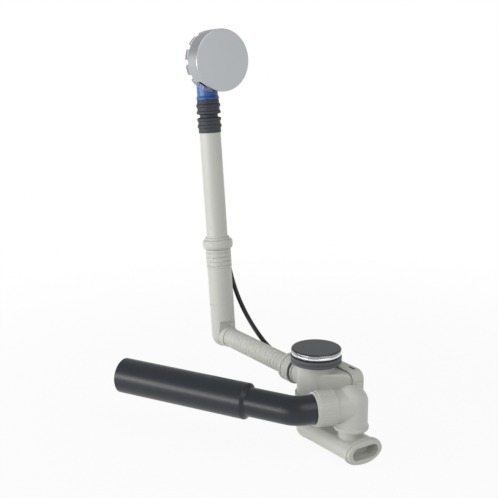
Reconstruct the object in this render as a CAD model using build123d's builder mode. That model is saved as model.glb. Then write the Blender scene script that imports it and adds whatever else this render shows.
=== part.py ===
from build123d import *
import os
from math import asin, cos, degrees, radians, sin, tan

os.makedirs("parts", exist_ok=True)

# A bath waste and overflow with a turn handle, a pull wire and a lifting valve, in millimetres and degrees.
# +Z is up and the origin is the centre of the bath's waste hole, on top of the gasket that seals it.
# +X runs from the overflow to the waste, and the outlet leaves on the -Y side.

# Fits
push_gap = 0.1
slide_gap = 0.2
pad_gap = 0.3

# Bath
bath_thickness = 2.6
bath_hole_radius = 26.0

# Valve seat and the guide inside it
seat_radius = 35.0
seat_rim_thickness = 3.6
seat_lip_radius = 31.0
seat_dish_depth = 2.0
seat_foot_edge = 0.8
seat_rim_edge = 1.4
seat_tube_radius = 22.0
seat_tube_wall = 1.5
seat_tube_drop = 24.0
guide_ledge = 1.8
guide_clearance = 0.8
guide_height = 6.0
guide_wall = 2.0
guide_hub_radius = 6.0
guide_arm_count = 4
guide_arm_width = 2.6

# Valve
lid_radius = 35.0
lid_height = 4.0
lid_shell = 1.4
lid_edge = 2.2
lid_foot_edge = 0.4
plug_neck_radius = 9.0
plug_flange_radius = 14.0
plug_flange_thickness = 1.4
plug_hub_radius = 6.0
plug_hub_length = 10.0
plug_web = 4.0
valve_seal_thickness = 1.6
stem_radius = 3.0
stem_drop = 30.0
stem_edge = 1.5
valve_lift = 10.0

# Gasket under the bath
gasket_radius = 35.5
gasket_height = 9.8
gasket_cover = 4.4
gasket_edge = 1.0
gasket_groove_depth = 0.9
gasket_groove_width = 0.8

# Waste body
body_radius = 26.5
body_wall = 3.0
body_flange_radius = 31.5
body_flange_thickness = 3.0
body_drop = 57.5
joint_radius = 29.0
joint_thickness = 2.5
joint_edge = 0.6
gusset_turn = -39.0
gusset_thickness = 2.8
gusset_reach = 5.0
gusset_height = 27.0

# Lever chamber on the body and the hood that covers its crank
chamber_end = 49.5
chamber_turn = 35.0
chamber_back = 27.0
chamber_top_drop = 19.8
chamber_floor_drop = 54.0
chamber_wall = 2.5
chamber_corner = 10.0
chamber_edge = 3.0
hood_start = 2.0
hood_back = 44.0
hood_gap = 1.4
hood_rim_start = 13.0
hood_rim_depth = 3.0
hood_skirt = 1.6
hood_skirt_drop = 31.0
hood_wall = 1.6
hood_edge = 3.0
hood_slot_length = 14.0
hood_slot_width = 4.0
hood_slot_inset = 11.0
hood_screw_radius = 1.7
hood_screw_head_radius = 3.2
hood_screw_head = 2.0
hood_screw_slot_depth = 1.0
hood_screw_slot_width = 0.9
hood_screw_bite = 2.4
hood_screw_inset = 8.0
hood_boss_radius = 4.0

# Lever, crank and pull wire
lever_x = 21.0
finger_width = 5.0
finger_thickness = 5.0
finger_pad_radius = 4.0
lever_hub_radius = 5.0
shaft_radius = 3.0
shaft_overhang = 1.5
shaft_boss_radius = 5.0
shaft_boss_length = 12.0
ring_seal_thickness = 1.9
crank_length = 18.0
crank_thickness = 5.0
crank_end_radius = 4.5
cable_y = 34.0
nipple_radius = 2.4
nipple_length = 7.0
wire_radius = 0.7

# Overflow inlet: port on the body, nut, seal and ribbed hose
inlet_drop = 36.5
port_radius = 17.0
port_reach = 38.0
port_collar_radius = 18.4
port_collar_thickness = 3.0
port_collar_edge = 0.6
spigot_radius = 15.0
spigot_length = 16.0
inlet_seal_radius = 18.8
inlet_seal_thickness = 3.5
inlet_seal_edge = 0.8
nut_radius = 20.2
nut_length = 21.0
nut_edge = 0.8
nut_groove_place = 5.2
nut_groove_depth = 0.8
nut_groove_width = 1.6
hose_radius = 14.6
hose_root_radius = 13.4
hose_end_radius = 12.5
hose_bore_radius = 10.8
hose_end_length = 14.0
hose_plain_length = 10.0
hose_rib_count = 18
hose_rib_land = 3.6
hose_rib_flank = 1.1

# Lower overflow sleeve
elbow_reach = 231.0
pipe_lean = 6.3
sleeve_radius = 18.5
sleeve_length = 151.0
sleeve_foot_bore = 10.0
sleeve_foot_height = 30.0
elbow_flat_reach = 10.0
elbow_flat_height = 25.0
stub_radius = 15.6
stub_length = 19.6
stub_edge = 0.8
collar_radius = 19.3
collar_length = 28.0
collar_groove_count = 4
collar_groove_depth = 0.8
collar_groove_width = 1.0
collar_groove_place = 4.2
collar_groove_pitch = 6.9
bead_radius = 23.1
bead_height = 15.5
bead_foot_edge = 6.0
bead_top_edge = 4.5
seal_room_radius = 20.0
seal_room_height = 7.5
seal_room_drop = 4.0
cap_radius = 18.9
cap_height = 3.2
cap_edge = 1.0
cap_wall = 1.5
cap_depth = 3.0

# Overflow pipe and gaiter
pipe_radius = 16.0
pipe_bore_radius = 14.0
pipe_foot = 85.0
pipe_in_gaiter = 18.5
gaiter_length = 50.5
gaiter_cuff_radius = 16.9
gaiter_rib_radius = 18.2
gaiter_groove_radius = 16.8
gaiter_waist_radius = 13.6
gaiter_waist_bore = 11.8
gaiter_rib_width = 6.4
gaiter_rib_pitch = 10.4
gaiter_waist_gap = 10.0
gaiter_rib_edge = 1.0
gaiter_wall = 1.2

# Overflow head, along its own axis from the pipe's centre line
head_height = 421.0
head_tube_radius = 28.0
head_tube_wall = 3.0
head_tube_depth = 17.0
head_tube_rear_radius = 17.5
head_tube_taper = 16.0
head_shoulder_radius = 33.0
head_shoulder_thickness = 4.0
head_shoulder_gap = 0.6
head_tube_lead = 1.0
neck_length = 56.0
neck_radius = 15.7
neck_lip_radius = 17.2
neck_lip_length = 5.5
neck_lip_band = 1.6
neck_bore_radius = 12.6
neck_end_radius = 14.6
neck_end_length = 16.0
backing_thickness = 3.2
backing_radius = 45.0
backing_root_radius = 38.5
backing_lug_count = 12
backing_lug_width = 15.0
backing_lug_turn = 15.0
head_gasket_thickness = 2.0
head_gasket_radius = 40.0
front_nut_radius = 37.0
front_nut_thickness = 5.5
front_nut_notch_count = 8
front_nut_notch_width = 8.0
front_nut_notch_depth = 3.0

# Turn handle, spindle and drum
handle_radius = 45.6
handle_depth = 23.6
handle_standoff = 0.8
handle_wall = 1.6
handle_face = 2.2
handle_edge = 1.2
handle_swing = 90.0
handle_notch_width = 70.0
handle_notch_lip = 5.0
handle_notch_corner = 7.0
hub_disc_radius = 20.0
hub_disc_thickness = 3.6
hub_boss_radius = 8.0
hub_boss_length = 16.0
spindle_radius = 2.5
spindle_boss_radius = 8.0
spindle_boss_length = 13.0
clip_radius = 5.0
clip_thickness = 1.0
drum_flange_radius = 8.0
drum_flange_thickness = 1.5
drum_width = 8.0
drum_clearance = 1.1
drum_case_radius = 11.0
drum_case_wall = 1.5
cable_boss_radius = 5.0
cable_boss_length = 9.0

# Cable and its end ferrules
cable_radius = 3.5
ferrule_radius = 4.8
ferrule_socket = 6.0
ferrule_web = 5.0
ferrule_neck = 8.0
ferrule_neck_radius = 2.9
ferrule_snap_radius = 3.8
ferrule_snap_length = 2.0
cable_lead_top = 52.0
cable_lead_end = 48.0
cable_arc_share = 0.45

# Trap
trap_drop = 120.5
trap_rounding = 12.0
channel_drop = 106.0
channel_width = 56.0
channel_height = 26.0
channel_wall = 2.2
channel_end = 101.0
trap_flange_width = 62.8
trap_flange_height = 36.8
trap_flange_thickness = 3.5
trap_flange_edge = 0.8
riser_x = 78.0
riser_radius = 17.5
riser_wall = 2.7
riser_top_drop = 64.0
joint_seal_section = 1.6

# Cleaning cap in the end of the trap
cap_flange_thickness = 4.5
cap_flange_edge = 2.5
cap_flange_step = 1.5
cap_mouth_width = 44.0
cap_mouth_height = 18.0
cap_recess_depth = 18.0
cap_floor = 2.0
cap_seal_width = 3.0
cap_seal_inset = 5.0
cap_seal_depth = 0.8

# Outlet elbow, its nut and seals
outlet_drop = 48.0
outlet_turn = -108.5
outlet_radius = 21.9
outlet_dome_rise = 5.0
outlet_leg_radius = 22.0
outlet_leg_drop = 82.0
outlet_bead_radius = 23.7
outlet_bead_height = 6.8
outlet_bead_rounding = 2.6
outlet_bore_radius = 17.6
riser_seal_room = 20.6
riser_seal_height = 5.0
outlet_shoulder = 27.0
outlet_spigot_radius = 21.4
outlet_spigot_end = 46.0
outlet_nut_radius = 24.3
outlet_nut_end = 55.0
outlet_nut_lip = 4.5
outlet_nut_rim_radius = 23.3
outlet_nut_edge = 0.8
outlet_flute_place = 2.2
outlet_flute_count = 36
outlet_flute_depth = 0.4
outlet_flute_width = 2.0

# Drain bend
drain_radius = 20.0
drain_wall = 3.0
drain_wide_radius = 25.0
drain_start = 30.0
drain_corner = 80.0
drain_bend_angle = 45.0
drain_bend_radius = 28.0
drain_narrow_length = 68.0
drain_shoulder_length = 4.5
drain_wide_length = 203.0
drain_chamfer = 1.5

# Places below the bath or behind an axis
stem_foot = -stem_drop
body_foot = -body_drop
chamber_top = -chamber_top_drop
chamber_floor = -chamber_floor_drop
hood_skirt_top = -hood_skirt_drop
inlet_z = -inlet_drop
port_end = -port_reach
elbow_x = -elbow_reach
head_tube_back = -head_tube_depth
trap_floor = -trap_drop
channel_z = -channel_drop
riser_top = -riser_top_drop
outlet_z = -outlet_drop
outlet_leg_foot = -outlet_leg_drop

# Planes: the local Z axis of each runs along the piece that it places
lean = radians(pipe_lean)
up_pipe = Vector(-sin(lean), 0, cos(lean))
ahead = Vector(cos(lean), 0, sin(lean))
elbow = Vector(elbow_x, 0, inlet_z)
waste = Plane.XY
hose_line = Plane(origin=(0, 0, inlet_z), x_dir=(0, 1, 0), z_dir=(1, 0, 0))
pipe_line = Plane(origin=elbow, x_dir=(0, 1, 0), z_dir=up_pipe)
head_line = Plane(origin=elbow + up_pipe * head_height, x_dir=(0, 1, 0), z_dir=ahead)
riser_line = Plane(origin=(riser_x, 0, 0))
channel_line = Plane(origin=(0, 0, channel_z), x_dir=(0, 1, 0), z_dir=(1, 0, 0))
outlet_way = Vector(cos(radians(outlet_turn)), sin(radians(outlet_turn)), 0)
outlet_line = Plane(origin=(riser_x, 0, outlet_z), x_dir=(0, 0, 1), z_dir=outlet_way)
drain_turn = radians(outlet_turn - drain_bend_angle)
drain_way = Vector(cos(drain_turn), sin(drain_turn), 0)
drain_line = Plane(
    origin=outlet_line.origin + outlet_way * drain_corner, x_dir=(0, 0, 1), z_dir=drain_way
)

# Levels that several pieces share
rim_top = bath_thickness + seat_rim_thickness
tube_bore = seat_tube_radius - seat_tube_wall
dish_foot = bath_thickness - seat_dish_depth
tube_end = -seat_tube_drop
guide_foot = stem_foot + valve_lift + guide_clearance
body_top = -gasket_cover
body_bore = body_radius - body_wall
lid_foot = rim_top + pad_gap
lid_top = lid_foot + lid_height
finger_length = lever_x
half_swing = asin(valve_lift / 2 / finger_length)
lever_z = stem_foot - pad_gap - finger_pad_radius + valve_lift / 2
cable_z = lever_z - crank_length * cos(half_swing)
nipple_x = lever_x + crank_length * sin(half_swing)
wire_travel = 2 * crank_length * sin(half_swing)
lever_line = Plane(origin=(lever_x, 0, lever_z), x_dir=(1, 0, 0), z_dir=(0, 1, 0))
cable_end_line = Plane(origin=(0, cable_y, cable_z), x_dir=(0, 1, 0), z_dir=(1, 0, 0))
chamber_way = Vector(cos(radians(chamber_turn)), -sin(radians(chamber_turn)), 0)
chamber_front = body_radius * chamber_way.Y
hood_end = chamber_end + hood_gap + hood_wall
hood_top = chamber_top + hood_gap + hood_wall
hood_corner = chamber_corner + hood_gap + hood_wall
hood_face = chamber_back + pad_gap
nut_face = port_end - inlet_seal_thickness
nut_back = nut_face - nut_length
stub_end = elbow_x + stub_length
elbow_flat = elbow_x + elbow_flat_reach
elbow_flat_top = inlet_z + elbow_flat_height
bead_foot = sleeve_length - bead_height
seal_room_top = sleeve_length - seal_room_drop
gaiter_top = head_height - neck_length
gaiter_foot = gaiter_top - gaiter_length
pipe_top = gaiter_foot + pipe_in_gaiter
shoulder_front = neck_radius + head_shoulder_gap
shoulder_back = shoulder_front - head_shoulder_thickness
backing_front = shoulder_front + backing_thickness
bath_face = backing_front + head_gasket_thickness + bath_thickness
head_tube_front = bath_face + front_nut_thickness + head_tube_lead
handle_back = bath_face + handle_standoff
handle_front = handle_back + handle_depth
drum_middle = head_tube_back - drum_clearance - drum_width / 2
drum_case_back = drum_middle - drum_width / 2 - drum_clearance - drum_case_wall
spindle_front = handle_front - handle_face - hub_disc_thickness
drum_groove_radius = wire_travel / radians(handle_swing) - wire_radius
cable_side = drum_groove_radius + wire_radius + slide_gap
cable_top = -drum_case_radius - cable_boss_length
channel_bore_width = channel_width - 2 * channel_wall
channel_bore_height = channel_height - 2 * channel_wall
cap_back = channel_end + trap_flange_thickness
cap_front = cap_back + cap_flange_thickness


def section(plane):
    # A half plane through the plane's Z axis: X is the radius and Y runs along the axis.
    return Plane(origin=plane.origin, x_dir=plane.x_dir, z_dir=-plane.y_dir)


def turn(plane, corners, mode=Mode.ADD):
    # Turns an outline of (radius, height) or (radius, height, rounding) corners about the plane's Z axis.
    points = [corner[:2] for corner in corners]
    roundings = [corner[2] if len(corner) > 2 else 0 for corner in corners]
    with BuildSketch(section(plane)) as outline:
        with BuildLine():
            FilletPolyline(*points, radius=roundings, close=True)
        make_face()
    revolve(outline.sketch, axis=Axis(plane.origin, plane.z_dir), mode=mode)


def rod(plane, radius, start, end, mode=Mode.ADD, edge=0):
    turn(plane, [(0, start), (radius, start, edge), (radius, end, edge), (0, end)], mode)


def ring(plane, bore, radius, start, end, mode=Mode.ADD, edge=0):
    turn(plane, [(bore, start), (radius, start, edge), (radius, end, edge), (bore, end)], mode)


def slot_bar(plane, width, height, start, end, mode=Mode.ADD):
    with BuildSketch(plane.offset(start)) as slot:
        SlotOverall(width, height)
    extrude(slot.sketch, amount=end - start, mode=mode)


def oval_bar(plane, width, height, start, end, mode=Mode.ADD):
    with BuildSketch(plane.offset(start)) as oval:
        Ellipse(width / 2, height / 2)
    extrude(oval.sketch, amount=end - start, mode=mode)


def side_plate(corners, back, front, mode=Mode.ADD):
    # Extrudes an upright (x, z) or (x, z, rounding) outline from y = back to y = front.
    points = [corner[:2] for corner in corners]
    roundings = [corner[2] if len(corner) > 2 else 0 for corner in corners]
    with BuildSketch(Plane.XZ.offset(-back)) as outline:
        with BuildLine():
            FilletPolyline(*points, radius=roundings, close=True)
        make_face()
    extrude(outline.sketch, amount=back - front, mode=mode)


def chamber_block(corners, back, reach):
    # An upright outline between y = back and the slanted wall, which lies this far from the body's axis.
    side_plate(corners, back, chamber_front)
    with BuildSketch(Plane(origin=chamber_way * reach, x_dir=(0, 0, 1), z_dir=chamber_way)) as wall:
        Rectangle(2 * body_drop, 2 * chamber_end)
    extrude(wall.sketch, amount=chamber_end, mode=Mode.SUBTRACT)


# Valve seat, a dished flange with a tube that screws into the waste body
with BuildPart() as seat_flange:
    turn(
        waste,
        [
            (seat_radius, bath_thickness, seat_foot_edge),
            (seat_radius, rim_top, seat_rim_edge),
            (seat_lip_radius, rim_top),
            (tube_bore, dish_foot),
            (tube_bore, guide_foot),
            (tube_bore - guide_ledge, guide_foot),
            (tube_bore - guide_ledge, tube_end),
            (seat_tube_radius, tube_end),
            (seat_tube_radius, dish_foot),
            (bath_hole_radius, bath_thickness),
        ],
    )

# Guide for the valve stem, a ring on the seat's ledge with arms to a hub
guide_ring_radius = tube_bore - push_gap
with BuildPart() as stem_guide:
    ring(waste, guide_ring_radius - guide_wall, guide_ring_radius, guide_foot, guide_foot + guide_height)
    arm_reach = guide_ring_radius - guide_wall / 2
    with BuildSketch(waste.offset(guide_foot)):
        with PolarLocations(arm_reach / 2, guide_arm_count):
            Rectangle(arm_reach, guide_arm_width)
    extrude(amount=guide_height)
    rod(waste, guide_hub_radius, guide_foot, guide_foot + guide_height)
    rod(waste, stem_radius + slide_gap, guide_foot, guide_foot + guide_height, Mode.SUBTRACT)

# Valve: pressed lid, plug, seal washer and stem
with BuildPart() as valve_lid:
    turn(
        waste,
        [
            (0, lid_top - lid_shell),
            (lid_radius - lid_shell, lid_top - lid_shell),
            (lid_radius - lid_shell, lid_foot),
            (lid_radius, lid_foot, lid_foot_edge),
            (lid_radius, lid_top, lid_edge),
            (0, lid_top),
        ],
    )

plug_flange_top = lid_foot - valve_seal_thickness
plug_flange_foot = plug_flange_top - plug_flange_thickness
plug_hub_foot = plug_flange_foot - plug_hub_length
stem_top = lid_top - lid_shell - plug_web
with BuildPart() as valve_plug:
    turn(
        waste,
        [
            (0, lid_top - lid_shell),
            (lid_radius - lid_shell - push_gap, lid_top - lid_shell),
            (lid_radius - lid_shell - push_gap, lid_foot),
            (plug_neck_radius, lid_foot),
            (plug_neck_radius, plug_flange_top),
            (plug_flange_radius, plug_flange_top),
            (plug_flange_radius, plug_flange_foot),
            (plug_hub_radius, plug_flange_foot),
            (plug_hub_radius, plug_hub_foot),
            (stem_radius + push_gap, plug_hub_foot),
            (stem_radius + push_gap, stem_top),
            (0, stem_top),
        ],
    )

dish_slope = (seat_lip_radius - tube_bore) / (rim_top - dish_foot)
valve_seal_radius = tube_bore + dish_slope * (plug_flange_top - dish_foot) - pad_gap
with BuildPart() as valve_seal:
    ring(waste, plug_neck_radius, valve_seal_radius, plug_flange_top, lid_foot)

with BuildPart() as valve_stem:
    turn(waste, [(0, stem_foot), (stem_radius, stem_foot, stem_edge), (stem_radius, stem_top), (0, stem_top)])

# Rubber gasket that wraps round the body's flange, in two tiers
groove_middle = -gasket_height / 2
with BuildPart() as bath_gasket:
    turn(
        waste,
        [
            (seat_tube_radius + slide_gap, 0),
            (gasket_radius, 0, gasket_edge),
            (gasket_radius, groove_middle + gasket_groove_width),
            (gasket_radius - gasket_groove_depth, groove_middle + gasket_groove_width / 2),
            (gasket_radius - gasket_groove_depth, groove_middle - gasket_groove_width / 2),
            (gasket_radius, groove_middle - gasket_groove_width),
            (gasket_radius, -gasket_height, gasket_edge),
            (body_radius + push_gap, -gasket_height),
            (body_radius + push_gap, body_top - body_flange_thickness),
            (body_flange_radius + push_gap, body_top - body_flange_thickness),
            (body_flange_radius + push_gap, body_top),
            (seat_tube_radius + slide_gap, body_top),
        ],
    )

# Waste body: upright cylinder, lever chamber, overflow port and the flange of the trap joint
chamber_outline = [
    (0, chamber_floor),
    (chamber_end, chamber_floor),
    (chamber_end, chamber_top, chamber_corner),
    (0, chamber_top),
]
chamber_room = [
    (0, chamber_floor + chamber_wall),
    (chamber_end - chamber_wall, chamber_floor + chamber_wall),
    (chamber_end - chamber_wall, chamber_top - chamber_wall, chamber_corner - chamber_wall),
    (0, chamber_top - chamber_wall),
]
hood_screw_spots = [
    (hood_end - hood_screw_inset, chamber_floor + hood_screw_inset),
    (hood_start + hood_screw_inset, chamber_top - hood_screw_inset),
]
shaft_bore = shaft_radius + slide_gap / 2
ring_seal_bore = shaft_bore + ring_seal_thickness
gusset_foot = body_foot + joint_thickness
gusset_way = (cos(radians(gusset_turn)), sin(radians(gusset_turn)), 0)
gusset_line = Plane(origin=(0, 0, 0), x_dir=gusset_way, z_dir=(0, 0, 1))
with BuildPart() as chamber_hollow:
    chamber_block(chamber_room, chamber_back - chamber_wall, body_radius - chamber_wall)
with BuildPart() as waste_body:
    chamber_block(chamber_outline, chamber_back, body_radius)
    wall_edges = waste_body.edges().filter_by_position(
        Axis((0, 0, 0), chamber_way), body_radius - push_gap, body_radius + push_gap
    )
    wall_edges = wall_edges.filter_by_position(Axis.X, body_radius, chamber_end + push_gap)
    fillet(wall_edges.sort_by(Axis.Z)[1:], chamber_edge)
    rod(waste, body_radius, body_foot, body_top)
    rod(waste, body_flange_radius, body_top - body_flange_thickness, body_top)
    rod(waste, joint_radius, body_foot, body_foot + joint_thickness, edge=joint_edge)
    rod(hose_line, port_radius, port_end, 0)
    rod(hose_line, port_collar_radius, port_end, port_end + port_collar_thickness, edge=port_collar_edge)
    rod(hose_line, spigot_radius, port_end - spigot_length, port_end)
    with BuildSketch(section(gusset_line).offset(-gusset_thickness / 2)):
        with BuildLine():
            Polyline(
                (body_bore, gusset_foot),
                (body_radius + gusset_reach, gusset_foot),
                (body_radius, gusset_foot + gusset_height),
                (body_bore, gusset_foot + gusset_height),
                close=True,
            )
        make_face()
    extrude(amount=gusset_thickness)
    rod(waste, seat_tube_radius + push_gap, tube_end - guide_ledge, body_top, Mode.SUBTRACT)
    rod(waste, body_bore, body_foot, tube_end - guide_ledge, Mode.SUBTRACT)
    rod(hose_line, hose_end_radius + push_gap, port_end - spigot_length, 0, Mode.SUBTRACT)
    add(chamber_hollow.part, mode=Mode.SUBTRACT)
    boss_front = chamber_back - chamber_wall - shaft_boss_length
    rod(lever_line, shaft_boss_radius, boss_front, chamber_back - chamber_wall)
    rod(lever_line, shaft_bore, boss_front, chamber_back, Mode.SUBTRACT)
    rod(lever_line, ring_seal_bore, chamber_back - ring_seal_thickness, chamber_back, Mode.SUBTRACT)
    for spot_x, spot_z in hood_screw_spots:
        screw_line = Plane(origin=(spot_x, 0, spot_z), x_dir=(1, 0, 0), z_dir=(0, 1, 0))
        rod(screw_line, hood_screw_radius, chamber_back - hood_screw_bite, chamber_back, Mode.SUBTRACT)

# Ring seal round the lever's shaft
with BuildPart() as shaft_seal:
    ring(lever_line, shaft_bore, ring_seal_bore - push_gap, chamber_back - ring_seal_thickness, chamber_back)

# Hood over the crank, with a slot in its roof, a stepped skirt and a rim that reaches over the chamber
hood_outline = [
    (hood_start, chamber_floor),
    (hood_end, chamber_floor),
    (hood_end, hood_top, hood_corner),
    (hood_start, hood_top, hood_edge),
]
rim_outline = [
    (hood_rim_start, chamber_top + hood_gap),
    (chamber_end + hood_gap, chamber_top + hood_gap, chamber_corner + hood_gap),
    (chamber_end + hood_gap, chamber_floor),
    (hood_end, chamber_floor),
    (hood_end, hood_top, hood_corner),
    (hood_rim_start, hood_top),
]
skirt_outline = [
    (hood_start, chamber_floor),
    (hood_end + hood_skirt, chamber_floor),
    (hood_end + hood_skirt, hood_skirt_top, hood_skirt / 2),
    (hood_start, hood_skirt_top),
]
hood_room = [
    (hood_start + hood_wall, chamber_floor + hood_wall),
    (hood_end - hood_wall, chamber_floor + hood_wall),
    (hood_end - hood_wall, hood_top - hood_wall, hood_corner - hood_wall),
    (hood_start + hood_wall, hood_top - hood_wall),
]
slot_x = hood_end - hood_slot_inset - hood_slot_length / 2
slot_y = (chamber_back + hood_back) / 2
with BuildPart() as crank_hood:
    side_plate(hood_outline, hood_back, hood_face)
    fillet(crank_hood.edges().filter_by_position(Axis.Y, hood_back, hood_back), hood_edge)
    side_plate(skirt_outline, hood_back - hood_edge, hood_face)
    side_plate(hood_room, hood_back - hood_wall, hood_face, Mode.SUBTRACT)
    side_plate(rim_outline, hood_face, chamber_back - hood_rim_depth)
    with BuildSketch(waste.offset(hood_top)):
        with Locations((slot_x, slot_y)):
            SlotOverall(hood_slot_length, hood_slot_width)
    extrude(amount=-hood_wall, mode=Mode.SUBTRACT)
    rod(cable_end_line, ferrule_neck_radius + push_gap, hood_start, hood_start + hood_wall, Mode.SUBTRACT)
    for spot_x, spot_z in hood_screw_spots:
        screw_line = Plane(origin=(spot_x, 0, spot_z), x_dir=(1, 0, 0), z_dir=(0, 1, 0))
        rod(screw_line, hood_boss_radius, chamber_back, hood_back - hood_wall)
        rod(screw_line, hood_screw_radius + push_gap, chamber_back, hood_back, Mode.SUBTRACT)

# Screws that hold the hood to the body
with BuildPart() as hood_screws:
    for spot_x, spot_z in hood_screw_spots:
        screw_line = Plane(origin=(spot_x, 0, spot_z), x_dir=(1, 0, 0), z_dir=(0, 1, 0))
        rod(screw_line, hood_screw_radius - push_gap, chamber_back - hood_screw_bite, hood_back)
        rod(screw_line, hood_screw_head_radius, hood_back, hood_back + hood_screw_head)
        with BuildSketch(screw_line.offset(hood_back + hood_screw_head)):
            Rectangle(2 * hood_screw_head_radius, hood_screw_slot_width)
        extrude(amount=-hood_screw_slot_depth, mode=Mode.SUBTRACT)

# Lever: shaft through the chamber wall with a finger under the valve stem
finger_tilt = degrees(half_swing)
with BuildPart() as lift_lever:
    with BuildSketch(lever_line.offset(-finger_width / 2)):
        Circle(lever_hub_radius)
        with Locations(Location((0, 0), -finger_tilt)):
            with Locations((-finger_length, 0)):
                Circle(finger_pad_radius)
            with Locations((-finger_length / 2, 0)):
                Rectangle(finger_length, finger_thickness)
    extrude(amount=finger_width)
    rod(lever_line, shaft_radius, finger_width / 2, cable_y + crank_thickness / 2 + shaft_overhang)

# Crank on the shaft's outer end, forked for the wire's nipple
fork_foot = crank_length * cos(half_swing) - nipple_radius - pad_gap
fork_length = crank_length - fork_foot + 2 * crank_end_radius
with BuildPart() as crank_arm:
    with BuildSketch(lever_line.offset(cable_y - crank_thickness / 2)):
        Circle(lever_hub_radius)
        with Locations(Location((0, 0), -finger_tilt)):
            with Locations((0, crank_length / 2)):
                Rectangle(2 * crank_end_radius, crank_length)
            with Locations((0, crank_length)):
                Circle(crank_end_radius)
        Circle(shaft_radius + push_gap, mode=Mode.SUBTRACT)
        with Locations(Location((0, 0), -finger_tilt)):
            with Locations((0, fork_foot + fork_length / 2)):
                Rectangle(2 * (nipple_radius + slide_gap), fork_length, mode=Mode.SUBTRACT)
    extrude(amount=crank_thickness)
    with BuildSketch(lever_line.offset(cable_y - wire_radius - pad_gap)):
        with Locations((0, crank_length)):
            Rectangle(4 * crank_end_radius, 2 * crank_end_radius + 2 * nipple_radius)
    extrude(amount=2 * (wire_radius + pad_gap), mode=Mode.SUBTRACT)

# Pull wire with its nipple, in the fork of the crank
wire_start = hood_start - ferrule_web + wire_travel + pad_gap
nipple_line = Plane(origin=(nipple_x, 0, cable_z), x_dir=(1, 0, 0), z_dir=(0, 1, 0))
with BuildPart() as pull_wire:
    rod(cable_end_line, wire_radius, wire_start, nipple_x)
    rod(nipple_line, nipple_radius, cable_y - nipple_length / 2, cable_y + nipple_length / 2)

# Ribbed hose from the overflow sleeve to the port, with plain ends
hose_start = stub_end - hose_end_length
hose_ribs_end = nut_back - hose_plain_length
rib_pitch = (hose_ribs_end - stub_end) / hose_rib_count
rib_corners = []
for rib in range(hose_rib_count):
    rib_x = stub_end + rib * rib_pitch
    rib_corners += [
        (hose_radius, rib_x + hose_rib_flank),
        (hose_radius, rib_x + hose_rib_flank + hose_rib_land),
        (hose_root_radius, rib_x + 2 * hose_rib_flank + hose_rib_land),
        (hose_root_radius, rib_x + rib_pitch),
    ]
with BuildPart() as ribbed_hose:
    turn(
        hose_line,
        [
            (hose_bore_radius, hose_start),
            (hose_end_radius, hose_start),
            (hose_end_radius, stub_end),
            (hose_root_radius, stub_end),
            *rib_corners,
            (hose_radius, hose_ribs_end + hose_rib_flank),
            (hose_radius, nut_back),
            (hose_end_radius, nut_back),
            (hose_end_radius, port_end),
            (hose_bore_radius, port_end),
        ],
    )

# Nut and seal between the hose and the port
with BuildPart() as inlet_nut:
    ring(hose_line, hose_end_radius + push_gap, nut_radius, nut_back, nut_face, edge=nut_edge)
    rod(hose_line, spigot_radius + push_gap, port_end - spigot_length - pad_gap, nut_face, Mode.SUBTRACT)
    groove_x = nut_back + nut_groove_place
    ring(
        hose_line,
        nut_radius - nut_groove_depth,
        nut_radius + nut_groove_depth,
        groove_x,
        groove_x + nut_groove_width,
        Mode.SUBTRACT,
    )

with BuildPart() as inlet_seal:
    ring(hose_line, spigot_radius + push_gap, inlet_seal_radius, nut_face, port_end, edge=inlet_seal_edge)

# Lower overflow sleeve: elbow with a flat front, grooved collar and the bead that holds the pipe seal
elbow_flat_outline = [
    (elbow_flat, elbow_flat_top),
    (elbow_flat + sleeve_radius, elbow_flat_top),
    (elbow_flat + sleeve_radius, inlet_z - 2 * sleeve_radius),
    (elbow_flat, inlet_z - 2 * sleeve_radius),
]
stub_bore = hose_end_radius + push_gap
with BuildPart() as overflow_sleeve:
    rod(pipe_line, sleeve_radius, 0, bead_foot)
    with Locations(elbow):
        Sphere(sleeve_radius)
    side_plate(elbow_flat_outline, sleeve_radius, -sleeve_radius, Mode.SUBTRACT)
    rod(hose_line, stub_radius, elbow_x, stub_end, edge=stub_edge)
    rod(pipe_line, collar_radius, bead_foot - collar_length, bead_foot)
    for groove in range(collar_groove_count):
        groove_z = bead_foot - collar_groove_place - groove * collar_groove_pitch
        ring(
            pipe_line,
            collar_radius - collar_groove_depth,
            collar_radius + collar_groove_depth,
            groove_z - collar_groove_width / 2,
            groove_z + collar_groove_width / 2,
            Mode.SUBTRACT,
        )
    turn(
        pipe_line,
        [
            (0, bead_foot),
            (bead_radius, bead_foot, bead_foot_edge),
            (bead_radius, sleeve_length, bead_top_edge),
            (0, sleeve_length),
        ],
    )
    rod(pipe_line, pipe_radius + slide_gap, sleeve_foot_height, sleeve_length, Mode.SUBTRACT)
    rod(pipe_line, sleeve_foot_bore, 0, sleeve_foot_height, Mode.SUBTRACT)
    with Locations(elbow):
        Sphere(stub_bore, mode=Mode.SUBTRACT)
    rod(hose_line, stub_bore, elbow_x, stub_end, Mode.SUBTRACT)
    rod(pipe_line, seal_room_radius, seal_room_top - seal_room_height, seal_room_top, Mode.SUBTRACT)
    rod(pipe_line, pipe_radius + slide_gap + cap_wall, seal_room_top, sleeve_length, Mode.SUBTRACT)

with BuildPart() as pipe_seal:
    turn(
        pipe_line,
        [
            (pipe_radius + slide_gap, seal_room_top - seal_room_height / 2),
            (seal_room_radius - push_gap, seal_room_top - seal_room_height),
            (seal_room_radius - push_gap, seal_room_top),
            (pipe_radius + slide_gap, seal_room_top),
        ],
    )

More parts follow.
